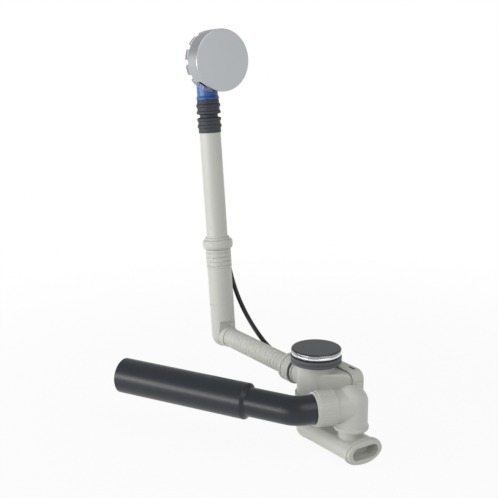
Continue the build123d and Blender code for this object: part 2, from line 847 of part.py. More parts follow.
with BuildPart() as seal_cap:
    turn(
        pipe_line,
        [
            (pipe_radius + slide_gap, sleeve_length - cap_depth),
            (pipe_radius + slide_gap + cap_wall - push_gap, sleeve_length - cap_depth),
            (pipe_radius + slide_gap + cap_wall - push_gap, sleeve_length),
            (cap_radius, sleeve_length),
            (cap_radius, sleeve_length + cap_height, cap_edge),
            (pipe_radius + slide_gap, sleeve_length + cap_height),
        ],
    )

# Overflow pipe, which slides in the sleeve to set the height
with BuildPart() as overflow_pipe:
    ring(pipe_line, pipe_bore_radius, pipe_radius, pipe_foot, pipe_top)

# Rubber gaiter between the pipe and the overflow head
gaiter_middle = (gaiter_foot + gaiter_top) / 2
inner_rib = gaiter_waist_gap / 2
outer_rib = inner_rib + gaiter_rib_pitch
rib_offsets = [-outer_rib, -inner_rib, inner_rib, outer_rib]
cuff_bore = pipe_radius + push_gap
gaiter_corners = [(cuff_bore, gaiter_foot), (gaiter_cuff_radius, gaiter_foot)]
for rib_offset in rib_offsets:
    rib_z = gaiter_middle + rib_offset
    root_below = gaiter_waist_radius if rib_offset == rib_offsets[2] else gaiter_groove_radius
    root_above = gaiter_waist_radius if rib_offset == rib_offsets[1] else gaiter_groove_radius
    gaiter_corners += [
        (root_below, rib_z - gaiter_rib_width / 2),
        (gaiter_rib_radius, rib_z - gaiter_rib_width / 4, gaiter_rib_edge),
        (gaiter_rib_radius, rib_z + gaiter_rib_width / 4, gaiter_rib_edge),
        (root_above, rib_z + gaiter_rib_width / 2),
    ]
gaiter_corners += [
    (neck_radius + gaiter_wall / 2, gaiter_top),
    (neck_end_radius + push_gap, gaiter_top),
    (neck_end_radius + push_gap, gaiter_middle + gaiter_rib_width),
    (gaiter_waist_bore, gaiter_middle + gaiter_wall),
    (gaiter_waist_bore, gaiter_middle - gaiter_wall),
    (cuff_bore, gaiter_middle - gaiter_rib_width),
]
with BuildPart() as gaiter:
    turn(pipe_line, gaiter_corners)

# Overflow body: a tube through the bath wall, tapered at the rear, with a lipped neck down to the gaiter
neck_line = Plane(origin=head_line.origin, x_dir=(0, 1, 0), z_dir=-up_pipe)
head_tube_bore = head_tube_radius - head_tube_wall
spindle_boss_front = head_tube_back + spindle_boss_length
taper_front = head_tube_back + head_tube_taper
with BuildPart() as overflow_body:
    turn(
        head_line,
        [
            (0, head_tube_back),
            (head_tube_rear_radius, head_tube_back),
            (head_tube_radius, taper_front),
            (head_tube_radius, head_tube_front),
            (0, head_tube_front),
        ],
    )
    rod(head_line, head_shoulder_radius, shoulder_back, shoulder_front)
    rod(neck_line, neck_radius, 0, neck_length)
    turn(
        neck_line,
        [
            (0, neck_length - neck_lip_length),
            (neck_radius, neck_length - neck_lip_length),
            (neck_lip_radius, neck_length - neck_lip_band),
            (neck_lip_radius, neck_length),
            (0, neck_length),
        ],
    )
    rod(neck_line, neck_end_radius, 0, neck_length + neck_end_length)
    turn(
        head_line,
        [
            (0, head_tube_back + head_tube_wall),
            (head_tube_rear_radius - head_tube_wall, head_tube_back + head_tube_wall),
            (head_tube_bore, taper_front + head_tube_wall),
            (head_tube_bore, head_tube_front),
            (0, head_tube_front),
        ],
        Mode.SUBTRACT,
    )
    rod(neck_line, neck_bore_radius, 0, neck_length + neck_end_length, Mode.SUBTRACT)
    rod(head_line, spindle_boss_radius, head_tube_back, spindle_boss_front)
    rod(head_line, spindle_radius + slide_gap / 2, head_tube_back, spindle_boss_front, Mode.SUBTRACT)

# Lugged backing ring, wall gasket and front nut that clamp the bath wall
with BuildPart() as backing_ring:
    rod(head_line, backing_root_radius, shoulder_front, backing_front)
    with BuildSketch(head_line.offset(shoulder_front)):
        Circle(backing_radius)
        lug_middle = (backing_radius + backing_root_radius) / 2
        with PolarLocations(lug_middle, backing_lug_count, start_angle=backing_lug_turn):
            Rectangle(
                2 * (backing_radius - backing_root_radius), backing_lug_width, mode=Mode.INTERSECT
            )
    extrude(amount=backing_thickness)
    rod(head_line, head_tube_radius + push_gap, shoulder_front, backing_front, Mode.SUBTRACT)

with BuildPart() as wall_gasket:
    ring(
        head_line,
        head_tube_radius + push_gap,
        head_gasket_radius,
        backing_front,
        backing_front + head_gasket_thickness,
    )

with BuildPart() as front_nut:
    ring(head_line, head_tube_radius + push_gap, front_nut_radius, bath_face, bath_face + front_nut_thickness)
    with BuildSketch(head_line.offset(bath_face)):
        with PolarLocations(front_nut_radius, front_nut_notch_count):
            Rectangle(2 * front_nut_notch_depth, front_nut_notch_width)
    extrude(amount=front_nut_thickness, mode=Mode.SUBTRACT)

# Turn handle, a cup with the overflow inlet cut out of its rim
with BuildPart() as turn_handle:
    turn(
        head_line,
        [
            (0, handle_front - handle_face),
            (handle_radius - handle_wall, handle_front - handle_face),
            (handle_radius - handle_wall, handle_back),
            (handle_radius, handle_back),
            (handle_radius, handle_front, handle_edge),
            (0, handle_front),
        ],
    )
    notch_length = handle_depth - handle_notch_lip
    notch_plane = Plane(
        origin=head_line.origin + ahead * handle_back - up_pipe * handle_radius,
        x_dir=(0, 1, 0),
        z_dir=up_pipe,
    )
    with BuildSketch(notch_plane):
        with BuildLine():
            FilletPolyline(
                (-handle_notch_width / 2, handle_standoff),
                (handle_notch_width / 2, handle_standoff),
                (handle_notch_width / 2, -notch_length),
                (-handle_notch_width / 2, -notch_length),
                radius=[0, 0, handle_notch_corner, handle_notch_corner],
                close=True,
            )
        make_face()
    extrude(amount=handle_radius / 2, mode=Mode.SUBTRACT)

# Hub inside the handle, spindle, its clip and the drum that pulls the wire
with BuildPart() as handle_hub:
    rod(head_line, hub_disc_radius, spindle_front, handle_front - handle_face)
    rod(head_line, hub_boss_radius, spindle_front - hub_boss_length, spindle_front)
    rod(head_line, spindle_radius + push_gap, spindle_front - hub_boss_length, spindle_front, Mode.SUBTRACT)

with BuildPart() as spindle:
    rod(head_line, spindle_radius, drum_middle - drum_width / 2, spindle_front)

with BuildPart() as spindle_clip:
    clip_back = spindle_boss_front + slide_gap
    ring(head_line, spindle_radius + push_gap, clip_radius, clip_back, clip_back + clip_thickness)

drum_back = drum_middle - drum_width / 2
drum_front = drum_middle + drum_width / 2
with BuildPart() as cable_drum:
    turn(
        head_line,
        [
            (spindle_radius + push_gap, drum_back),
            (drum_flange_radius, drum_back),
            (drum_flange_radius, drum_back + drum_flange_thickness),
            (drum_groove_radius, drum_back + drum_flange_thickness),
            (drum_groove_radius, drum_front - drum_flange_thickness),
            (drum_flange_radius, drum_front - drum_flange_thickness),
            (drum_flange_radius, drum_front),
            (spindle_radius + push_gap, drum_front),
        ],
    )

# Case over the drum, with a boss for the cable's upper ferrule
cable_top_line = Plane(
    origin=head_line.origin + ahead * drum_middle + Vector(0, cable_side, 0), x_dir=(0, 1, 0), z_dir=-up_pipe
)
ferrule_foot = ferrule_web + ferrule_socket - cable_top
with BuildPart() as drum_case:
    rod(head_line, drum_case_radius, drum_case_back, head_tube_back)
    rod(cable_top_line, cable_boss_radius, 0, -cable_top)
    rod(
        head_line,
        drum_case_radius - drum_case_wall,
        drum_case_back + drum_case_wall,
        head_tube_back,
        Mode.SUBTRACT,
    )
    rod(cable_top_line, ferrule_neck_radius + push_gap, 0, -cable_top, Mode.SUBTRACT)

with BuildPart() as upper_ferrule:
    rod(cable_top_line, ferrule_neck_radius, -cable_top - ferrule_neck, -cable_top)
    rod(cable_top_line, ferrule_radius, -cable_top, ferrule_foot)
    rod(cable_top_line, cable_radius + push_gap, ferrule_web - cable_top, ferrule_foot, Mode.SUBTRACT)
    rod(cable_top_line, wire_radius + slide_gap, -cable_top - ferrule_neck, ferrule_foot, Mode.SUBTRACT)

with BuildPart() as drum_wire:
    rod(cable_top_line, wire_radius, 0, ferrule_web - cable_top)

# Cable between the two ferrules: straight runs with an arc at each point of its route
ferrule_back = hood_start - ferrule_web - ferrule_socket
ferrule_front = hood_start + hood_wall + ferrule_snap_length
with BuildPart() as lower_ferrule:
    rod(cable_end_line, ferrule_radius, ferrule_back, hood_start)
    rod(cable_end_line, ferrule_neck_radius, hood_start, hood_start + hood_wall)
    rod(cable_end_line, ferrule_snap_radius, hood_start + hood_wall, ferrule_front)
    rod(cable_end_line, cable_radius + push_gap, ferrule_back, hood_start - ferrule_web, Mode.SUBTRACT)
    rod(cable_end_line, wire_radius + slide_gap, ferrule_back, ferrule_front, Mode.SUBTRACT)

cable_start = cable_top_line.origin - up_pipe * (ferrule_web - cable_top)
cable_end = Vector(hood_start - ferrule_web, cable_y, cable_z)
cable_points = [
    cable_start,
    cable_start - up_pipe * cable_lead_top,
    Vector(-281, 11, 222),
    Vector(-274, 19, 150),
    Vector(-262, 25, 85),
    Vector(-246, 28, 36),
    Vector(-224, 28.5, 0),
    Vector(-190, 28.5, -26),
    Vector(-150, 29.5, -43),
    Vector(-100, 32, -52),
    cable_end - Vector(cable_lead_end, 0, 0),
    cable_end,
]
cable_runs = [b - a for a, b in zip(cable_points, cable_points[1:])]
cable_radii = []
for before, after in zip(cable_runs, cable_runs[1:]):
    corner_turn = radians(before.get_angle(after))
    cable_radii.append(cable_arc_share * min(before.length, after.length) / tan(corner_turn / 2))
print("cable radii", [round(radius) for radius in cable_radii])
with BuildPart() as pull_cable:
    with BuildLine() as cable_route:
        FilletPolyline(*cable_points, radius=cable_radii)
    with BuildSketch(Plane(origin=cable_start, z_dir=cable_runs[0])):
        Circle(cable_radius)
    sweep()
print("cable length", round(sum(edge.length for edge in cable_route.edges())))

# Trap: upright cup, channel with an oval flange, and the riser to the outlet elbow
with BuildPart() as trap:
    turn(
        waste,
        [(0, trap_floor), (body_radius, trap_floor, trap_rounding), (body_radius, body_foot), (0, body_foot)],
    )
    rod(waste, joint_radius, body_foot - joint_thickness, body_foot, edge=joint_edge)
    slot_bar(channel_line, channel_width, channel_height, 0, channel_end)
    oval_bar(channel_line, trap_flange_width, trap_flange_height, channel_end, cap_back)
    fillet(trap.faces().filter_by(Axis.X).group_by(SortBy.AREA)[-1].edges(), trap_flange_edge)
    rod(riser_line, riser_radius, channel_z, riser_top)
    turn(
        waste,
        [
            (0, trap_floor + body_wall),
            (body_bore, trap_floor + body_wall, trap_rounding - body_wall),
            (body_bore, body_foot),
            (0, body_foot),
        ],
        Mode.SUBTRACT,
    )
    slot_bar(channel_line, channel_bore_width, channel_bore_height, 0, cap_back, Mode.SUBTRACT)
    rod(riser_line, riser_radius - riser_wall, channel_z, riser_top, Mode.SUBTRACT)
    seal_seat = body_bore + joint_seal_section
    rod(waste, seal_seat, body_foot - joint_seal_section, body_foot, Mode.SUBTRACT)

with BuildPart() as joint_seal:
    ring(waste, body_bore, seal_seat - push_gap, body_foot - joint_seal_section, body_foot)

# Cleaning cap with an oval finger recess, and its seal
plug_width = channel_bore_width - 2 * slide_gap
plug_height = channel_bore_height - 2 * slide_gap
recess_back = cap_front - cap_recess_depth
cap_flange_width = trap_flange_width - 2 * cap_flange_step
cap_flange_height = trap_flange_height - 2 * cap_flange_step
seal_back = cap_back - cap_seal_inset - cap_seal_width
with BuildPart() as cleaning_cap:
    oval_bar(channel_line, cap_flange_width, cap_flange_height, cap_back, cap_front)
    fillet(cleaning_cap.faces().sort_by(Axis.X)[-1].edges(), cap_flange_edge)
    slot_bar(channel_line, plug_width, plug_height, recess_back - cap_floor, cap_back)
    slot_bar(channel_line, cap_mouth_width, cap_mouth_height, recess_back, cap_front, Mode.SUBTRACT)
    with BuildSketch(channel_line.offset(seal_back)):
        SlotOverall(plug_width, plug_height)
        SlotOverall(plug_width - 2 * cap_seal_depth, plug_height - 2 * cap_seal_depth, mode=Mode.SUBTRACT)
    extrude(amount=cap_seal_width, mode=Mode.SUBTRACT)

with BuildPart() as cap_seal:
    with BuildSketch(channel_line.offset(seal_back)):
        SlotOverall(channel_bore_width - push_gap, channel_bore_height - push_gap)
        SlotOverall(plug_width - 2 * cap_seal_depth, plug_height - 2 * cap_seal_depth, mode=Mode.SUBTRACT)
    extrude(amount=cap_seal_width)

# Outlet elbow, which turns on the riser
bead_top = outlet_leg_foot + outlet_bead_height
riser_seal_middle = outlet_leg_foot + outlet_bead_height / 2
drain_socket = drain_radius + slide_gap
dome_z = outlet_z + outlet_dome_rise
with BuildPart() as outlet_elbow:
    rod(riser_line, outlet_leg_radius, outlet_leg_foot, dome_z)
    turn(
        riser_line,
        [
            (0, outlet_leg_foot),
            (outlet_bead_radius, outlet_leg_foot, outlet_bead_rounding),
            (outlet_bead_radius, bead_top, outlet_bead_rounding),
            (0, bead_top),
        ],
    )
    with Locations((riser_x, 0, dome_z)):
        Sphere(outlet_leg_radius)
    rod(outlet_line, outlet_radius, 0, outlet_shoulder)
    rod(outlet_line, outlet_spigot_radius, 0, outlet_spigot_end)
    rod(riser_line, riser_radius + slide_gap, outlet_leg_foot, riser_top + slide_gap, Mode.SUBTRACT)
    rod(riser_line, outlet_bore_radius, riser_top, dome_z, Mode.SUBTRACT)
    with Locations((riser_x, 0, dome_z)):
        Sphere(outlet_bore_radius, mode=Mode.SUBTRACT)
    rod(outlet_line, outlet_bore_radius, 0, outlet_spigot_end, Mode.SUBTRACT)
    rod(outlet_line, drain_socket, drain_start - slide_gap, outlet_spigot_end, Mode.SUBTRACT)
    rod(
        riser_line,
        riser_seal_room,
        riser_seal_middle - riser_seal_height / 2,
        riser_seal_middle + riser_seal_height / 2,
        Mode.SUBTRACT,
    )

with BuildPart() as riser_seal:
    ring(
        riser_line,
        riser_radius + slide_gap,
        riser_seal_room - push_gap,
        riser_seal_middle - riser_seal_height / 2,
        riser_seal_middle + riser_seal_height / 2,
    )

# Fluted nut and seal round the drain pipe
lip_back = outlet_nut_end - outlet_nut_lip
with BuildPart() as outlet_nut:
    turn(
        outlet_line,
        [
            (outlet_spigot_radius + push_gap, outlet_shoulder),
            (outlet_nut_radius, outlet_shoulder, outlet_nut_edge),
            (outlet_nut_radius, lip_back, outlet_nut_edge),
            (outlet_nut_rim_radius, lip_back),
            (outlet_nut_rim_radius, outlet_nut_end, outlet_nut_edge),
            (drain_socket, outlet_nut_end),
            (drain_socket, lip_back),
            (outlet_spigot_radius + push_gap, lip_back),
        ],
    )
    flute_start = outlet_shoulder + outlet_flute_place
    with BuildSketch(outlet_line.offset(flute_start)):
        with PolarLocations(outlet_nut_radius, outlet_flute_count):
            Rectangle(2 * outlet_flute_depth, outlet_flute_width)
    extrude(amount=lip_back - flute_start, mode=Mode.SUBTRACT)

with BuildPart() as outlet_seal:
    ring(outlet_line, drain_socket, outlet_spigot_radius, outlet_spigot_end, lip_back)

# Drain bend: a narrow stub, a bend and a shoulder to the wide pipe
shoulder_end = drain_narrow_length + drain_shoulder_length
wide_end = shoulder_end + drain_wide_length
drain_bore = drain_radius - drain_wall
wide_bore = drain_wide_radius - drain_wall
drain_route_points = [
    outlet_line.origin + outlet_way * drain_start,
    drain_line.origin,
    drain_line.origin + drain_way * drain_narrow_length,
]
with BuildPart() as drain_bend:
    with BuildLine() as drain_route:
        FilletPolyline(*drain_route_points, radius=drain_bend_radius)
    with BuildSketch(outlet_line.offset(drain_start)):
        Circle(drain_radius)
        Circle(drain_bore, mode=Mode.SUBTRACT)
    sweep(path=drain_route.line)
    turn(
        drain_line,
        [
            (drain_bore, drain_narrow_length),
            (drain_radius, drain_narrow_length),
            (drain_wide_radius, shoulder_end),
            (drain_wide_radius, wide_end - drain_chamfer),
            (drain_wide_radius - drain_chamfer, wide_end),
            (wide_bore, wide_end),
            (wide_bore, shoulder_end),
        ],
    )

pieces = {
    "seat_flange": seat_flange,
    "stem_guide": stem_guide,
    "valve_lid": valve_lid,
    "valve_plug": valve_plug,
    "valve_seal": valve_seal,
    "valve_stem": valve_stem,
    "bath_gasket": bath_gasket,
    "waste_body": waste_body,
    "shaft_seal": shaft_seal,
    "crank_hood": crank_hood,
    "hood_screws": hood_screws,
    "lift_lever": lift_lever,
    "crank_arm": crank_arm,
    "pull_wire": pull_wire,
    "ribbed_hose": ribbed_hose,
    "inlet_nut": inlet_nut,
    "inlet_seal": inlet_seal,
    "overflow_sleeve": overflow_sleeve,
    "pipe_seal": pipe_seal,
    "seal_cap": seal_cap,
    "overflow_pipe": overflow_pipe,
    "gaiter": gaiter,
    "overflow_body": overflow_body,
    "backing_ring": backing_ring,
    "wall_gasket": wall_gasket,
    "front_nut": front_nut,
    "turn_handle": turn_handle,
    "handle_hub": handle_hub,
    "spindle": spindle,
    "spindle_clip": spindle_clip,
    "cable_drum": cable_drum,
    "drum_case": drum_case,
    "drum_wire": drum_wire,
    "upper_ferrule": upper_ferrule,
    "lower_ferrule": lower_ferrule,
    "pull_cable": pull_cable,
    "trap": trap,
    "joint_seal": joint_seal,
    "cleaning_cap": cleaning_cap,
    "cap_seal": cap_seal,
    "outlet_elbow": outlet_elbow,
    "riser_seal": riser_seal,
    "outlet_nut": outlet_nut,
    "outlet_seal": outlet_seal,
    "drain_bend": drain_bend,
}
for name, piece in pieces.items():
    piece.part.label = name
    export_step(piece.part, f"parts/{name}.step")
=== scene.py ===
import math

import bmesh
import bpy
from mathutils import Matrix, Vector


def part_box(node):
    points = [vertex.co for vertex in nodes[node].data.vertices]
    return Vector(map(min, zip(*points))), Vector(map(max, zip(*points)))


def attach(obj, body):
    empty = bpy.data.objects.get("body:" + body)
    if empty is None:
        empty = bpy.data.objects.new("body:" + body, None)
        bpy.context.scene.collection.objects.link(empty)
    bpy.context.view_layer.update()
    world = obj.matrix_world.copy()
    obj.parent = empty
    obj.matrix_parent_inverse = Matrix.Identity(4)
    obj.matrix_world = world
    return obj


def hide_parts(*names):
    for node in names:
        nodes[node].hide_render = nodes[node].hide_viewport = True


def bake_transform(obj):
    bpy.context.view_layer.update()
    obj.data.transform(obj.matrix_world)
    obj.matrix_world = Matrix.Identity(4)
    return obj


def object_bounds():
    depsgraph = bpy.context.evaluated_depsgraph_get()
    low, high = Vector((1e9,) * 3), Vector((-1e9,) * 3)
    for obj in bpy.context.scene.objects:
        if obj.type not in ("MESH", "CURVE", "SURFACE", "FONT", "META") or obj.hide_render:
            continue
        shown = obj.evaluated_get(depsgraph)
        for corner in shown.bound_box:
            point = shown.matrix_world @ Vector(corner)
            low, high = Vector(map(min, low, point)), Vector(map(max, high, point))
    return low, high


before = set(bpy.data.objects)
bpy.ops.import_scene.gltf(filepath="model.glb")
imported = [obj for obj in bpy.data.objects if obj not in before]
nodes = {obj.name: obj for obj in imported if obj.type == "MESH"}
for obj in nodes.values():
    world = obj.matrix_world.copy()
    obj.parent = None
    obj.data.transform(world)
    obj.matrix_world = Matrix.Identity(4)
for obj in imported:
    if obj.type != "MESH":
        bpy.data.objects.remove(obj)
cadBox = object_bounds()  # the CAD model's box, before anything is added
print("frame loaded with", len(nodes), "nodes")

# camera, at the photograph's viewing angle
cameraSetup = {
    "place": (1.1241, -0.9011, 0.5368),  # metres
    "right": (0.5736, 0.8192, 0.0),
    "up": (-0.2120, 0.1485, 0.9659),
    "forward": (-0.7912, 0.5540, -0.2588),
    "lens": 79.518,  # mm on a 36 mm sensor
    "sensor": 36.0,
    "reach": 20.0,  # metres that the camera sees
}


def placeCamera(setup):
    camera = bpy.data.objects.new("photoCamera", bpy.data.cameras.new("photoCamera"))
    axes = (Vector(setup["right"]), Vector(setup["up"]), -Vector(setup["forward"]))
    turn = Matrix([axis.normalized() for axis in axes]).transposed().to_4x4()
    camera.matrix_world = Matrix.Translation(setup["place"]) @ turn
    camera.data.lens = setup["lens"]
    camera.data.sensor_width = setup["sensor"]
    camera.data.clip_end = setup["reach"]
    bpy.context.scene.collection.objects.link(camera)
    bpy.context.scene.camera = camera


placeCamera(cameraSetup)
print("camera placed")

# node helpers


def tone(red, green, blue):  # screen colour, 0 to 255, as the linear values that Blender keeps
    def linear(level):
        share = level / 255
        return share / 12.92 if share <= 0.04045 else ((share + 0.055) / 1.055) ** 2.4

    return (linear(red), linear(green), linear(blue), 1.0)


def feed(tree, socket, value):  # links a socket, or sets a plain value
    if isinstance(value, bpy.types.NodeSocket):
        tree.links.new(value, socket)
    else:
        socket.default_value = value


def mathStep(tree, operation, *values, clamp=False):
    step = tree.nodes.new("ShaderNodeMath")
    step.operation = operation
    step.use_clamp = clamp
    for socket, value in zip(step.inputs, values):
        feed(tree, socket, value)
    return step.outputs[0]


def vectorStep(tree, operation, first, second):
    step = tree.nodes.new("ShaderNodeVectorMath")
    step.operation = operation
    feed(tree, step.inputs[0], first)
    feed(tree, step.inputs[1], second)
    return step


def easeStep(tree, value, low, high, atLow, atHigh):  # smooth ramp between two levels
    step = tree.nodes.new("ShaderNodeMapRange")
    step.interpolation_type = "SMOOTHSTEP"
    feed(tree, step.inputs["Value"], value)
    feed(tree, step.inputs["From Min"], low)
    feed(tree, step.inputs["From Max"], high)
    feed(tree, step.inputs["To Min"], atLow)
    feed(tree, step.inputs["To Max"], atHigh)
    return step.outputs["Result"]


def noiseStep(tree, coordinates, scale, detail=2.0, roughness=0.5):
    step = tree.nodes.new("ShaderNodeTexNoise")
    feed(tree, step.inputs["Vector"], coordinates)
    feed(tree, step.inputs["Scale"], scale)
    step.inputs["Detail"].default_value = detail
    step.inputs["Roughness"].default_value = roughness
    return step.outputs["Fac"]


def mixColours(tree, blendType, share, first, second):
    step = tree.nodes.new("ShaderNodeMix")
    step.data_type = "RGBA"
    step.blend_type = blendType
    feed(tree, step.inputs["Factor"], share)
    feed(tree, step.inputs[6], first)
    feed(tree, step.inputs[7], second)
    return step.outputs[2]


def shadeColour(tree, colour, level):  # a colour times one level for all its channels
    shade = tree.nodes.new("ShaderNodeCombineColor")
    for channel in shade.inputs:
        feed(tree, channel, level)
    return mixColours(tree, "MULTIPLY", 1.0, colour, shade.outputs[0])


def startGroup(name, inputs, outputs):
    tree = bpy.data.node_groups.new(name, "ShaderNodeTree")
    for label, kind, value in inputs:
        socket = tree.interface.new_socket(label, in_out="INPUT", socket_type="NodeSocket" + kind)
        socket.default_value = value
    for label, kind in outputs:
        tree.interface.new_socket(label, in_out="OUTPUT", socket_type="NodeSocket" + kind)
    return tree, tree.nodes.new("NodeGroupInput").outputs, tree.nodes.new("NodeGroupOutput").inputs


def useGroup(tree, group, **values):
    step = tree.nodes.new("ShaderNodeGroup")
    step.node_tree = group
    for label, value in values.items():
        feed(tree, step.inputs[label], value)
    return step.outputs


# shared surface effects
skinMix = {
    "slow": 0.65,  # share of the slow drift in the colour
    "fleck": 0.35,  # share of the finer flecks
    "fleckScale": 9.0,  # how much finer the flecks are
}
edgeMask = {"sharp": 0.8, "flat": 0.99}  # cosine between the rounded and the plain normal


def makeMouldedSkin():  # slow colour drift, uneven gloss and the fine grain of a moulded skin
    tree, given, out = startGroup(
        "mouldedSkin",
        [
            ("Colour", "Color", (0.5, 0.5, 0.5, 1.0)),
            ("Drift", "Float", 0.05),
            ("DriftScale", "Float", 18.0),
            ("Gloss", "Float", 0.4),
            ("GlossDrift", "Float", 0.1),
            ("GrainScale", "Float", 1400.0),
        ],
        [("Colour", "Color"), ("Roughness", "Float"), ("Grain", "Float")],
    )
    place = tree.nodes.new("ShaderNodeTexCoord").outputs["Object"]
    slow = noiseStep(tree, place, given["DriftScale"], detail=3.0)
    fineScale = mathStep(tree, "MULTIPLY", given["DriftScale"], skinMix["fleckScale"])
    fleck = noiseStep(tree, place, fineScale, detail=4.0, roughness=0.65)
    slowPart = mathStep(tree, "MULTIPLY", slow, skinMix["slow"])
    fleckPart = mathStep(tree, "MULTIPLY", fleck, skinMix["fleck"])
    both = mathStep(tree, "ADD", slowPart, fleckPart)
    swing = mathStep(tree, "MULTIPLY_ADD", both, 2.0, -1.0)
    level = mathStep(tree, "MULTIPLY_ADD", swing, given["Drift"], 1.0)
    feed(tree, out["Colour"], shadeColour(tree, given["Colour"], level))
    glossSwing = mathStep(tree, "MULTIPLY_ADD", fleck, 2.0, -1.0)
    gloss = mathStep(tree, "MULTIPLY_ADD", glossSwing, given["GlossDrift"], given["Gloss"], clamp=True)
    feed(tree, out["Roughness"], gloss)
    feed(tree, out["Grain"], noiseStep(tree, place, given["GrainScale"], detail=2.0))
    return tree


def makePartingLine():  # thin line where two parts of a mould met, kept to one side where From says so
    tree, given, out = startGroup(
        "partingLine",
        [
            ("Direction", "Vector", (0.0, 1.0, 0.0)),
            ("Offset", "Float", 0.0),
            ("HalfWidth", "Float", 0.0002),
            ("Side", "Vector", (0.0, 0.0, 0.0)),
            ("From", "Float", -1.0),
        ],
        [("Line", "Float")],
    )
    place = tree.nodes.new("ShaderNodeTexCoord").outputs["Object"]
    along = vectorStep(tree, "DOT_PRODUCT", place, given["Direction"]).outputs["Value"]
    away = mathStep(tree, "ABSOLUTE", mathStep(tree, "SUBTRACT", along, given["Offset"]))
    line = easeStep(tree, away, 0.0, given["HalfWidth"], 1.0, 0.0)
    beside = vectorStep(tree, "DOT_PRODUCT", place, given["Side"]).outputs["Value"]
    kept = mathStep(tree, "GREATER_THAN", beside, given["From"])
    feed(tree, out["Line"], mathStep(tree, "MULTIPLY", line, kept))
    return tree


def makeSoftEdge():  # rounded normals at sharp edges, and a mask of those edges
    tree, given, out = startGroup(
        "softEdge", [("Radius", "Float", 0.0004)], [("Normal", "Vector"), ("Edge", "Float")]
    )
    rounded = tree.nodes.new("ShaderNodeBevel")
    rounded.samples = 4
    feed(tree, rounded.inputs["Radius"], given["Radius"])
    plain = tree.nodes.new("ShaderNodeNewGeometry").outputs["Normal"]
    facing = vectorStep(tree, "DOT_PRODUCT", rounded.outputs["Normal"], plain).outputs["Value"]
    feed(tree, out["Normal"], rounded.outputs["Normal"])
    feed(tree, out["Edge"], easeStep(tree, facing, edgeMask["sharp"], edgeMask["flat"], 1.0, 0.0))
    return tree


mouldedSkin = makeMouldedSkin()
partingLine = makePartingLine()
softEdge = makeSoftEdge()
print("shared effects made")

# finishes
bumpDistance = 0.001  # metres of height at full bump


def startMaterial(name):
    material = bpy.data.materials.new(name)
    material.use_nodes = True
    tree = material.node_tree
    return material, tree, tree.nodes["Principled BSDF"].inputs


def startFinish(name, look):  # the drifting skin and the soft edges that every finish has
    material, tree, shader = startMaterial(name)
    skin = useGroup(
        tree,
        mouldedSkin,
        Colour=look["colour"],
        Drift=look["drift"],
        DriftScale=look["driftScale"],
        Gloss=look["roughness"],
        GlossDrift=look["roughnessDrift"],
        GrainScale=look["grainScale"],
    )
    edges = useGroup(tree, softEdge, Radius=look["edgeRadius"])
    height = mathStep(tree, "MULTIPLY", skin["Grain"], look["grainHeight"])
    feed(tree, shader["Roughness"], skin["Roughness"])
    return material, tree, shader, skin["Colour"], edges, height


def paintLine(tree, blendType, colour, mark):  # a seam line, or a band of painted highlight, in its own colour, and where it runs
    line = useGroup(tree, partingLine, **mark["place"])["Line"]
    share = mathStep(tree, "MULTIPLY", line, mark["share"])
    return mixColours(tree, blendType, share, colour, mark["colour"]), line


def endFinish(tree, shader, look, colour, edges, height):
    bump = tree.nodes.new("ShaderNodeBump")
    bump.inputs["Strength"].default_value = look["bump"]
    bump.inputs["Distance"].default_value = bumpDistance
    feed(tree, bump.inputs["Height"], height)
    feed(tree, bump.inputs["Normal"], edges["Normal"])
    feed(tree, shader["Base Color"], colour)
    feed(tree, shader["Normal"], bump.outputs["Normal"])


def makeMoulded(name, look):
    material, tree, shader, colour, edges, height = startFinish(name, look)
    # sharp edges get a lighter colour: a painted highlight along every edge
    edgeHighlight = mathStep(tree, "MULTIPLY", edges["Edge"], look["edgeHighlightShare"])
    colour = mixColours(tree, "MIX", edgeHighlight, colour, look["edgeHighlightColour"])
    for seam in look["seams"]:
        colour, line = paintLine(tree, "MULTIPLY", colour, seam)
        height = mathStep(tree, "MULTIPLY_ADD", line, seam["height"], height)
    endFinish(tree, shader, look, colour, edges, height)
    shader["Specular IOR Level"].default_value = look["specular"]
    shader["Transmission Weight"].default_value = look["clear"]
    return material


def makeMetal(name, look):
    material, tree, shader, colour, edges, height = startFinish(name, look)
    # bands of painted highlight, such as the lid's bright edge
    for highlightBand in look["paintedHighlights"]:
        colour = paintLine(tree, "MIX", colour, highlightBand)[0]
    endFinish(tree, shader, look, colour, edges, height)
    shader["Metallic"].default_value = 1.0
    return material


plasticLook = {
    "colour": tone(200, 200, 194),
    "drift": 0.035,
    "driftScale": 16.0,
    "roughness": 0.42,
    "roughnessDrift": 0.10,
    "grainScale": 1500.0,
    "grainHeight": 0.06,
    "edgeRadius": 0.0005,
    # share and colour of the painted highlight on sharp edges
    "edgeHighlightShare": 0.25,
    "edgeHighlightColour": tone(222, 222, 217),
    "bump": 0.25,
    "specular": 0.5,
    "clear": 0.0,  # share of light that passes through
    "seams": [],
}
seamLook = {"share": 0.5, "colour": tone(214, 213, 208), "height": 0.25}


def seamAt(place, **changes):  # place has the parting line's inputs that differ from its defaults
    return dict(seamLook, place=place, **changes)


def greyPlastic(name, *seams):
    return makeMoulded(name, dict(plasticLook, seams=seams))


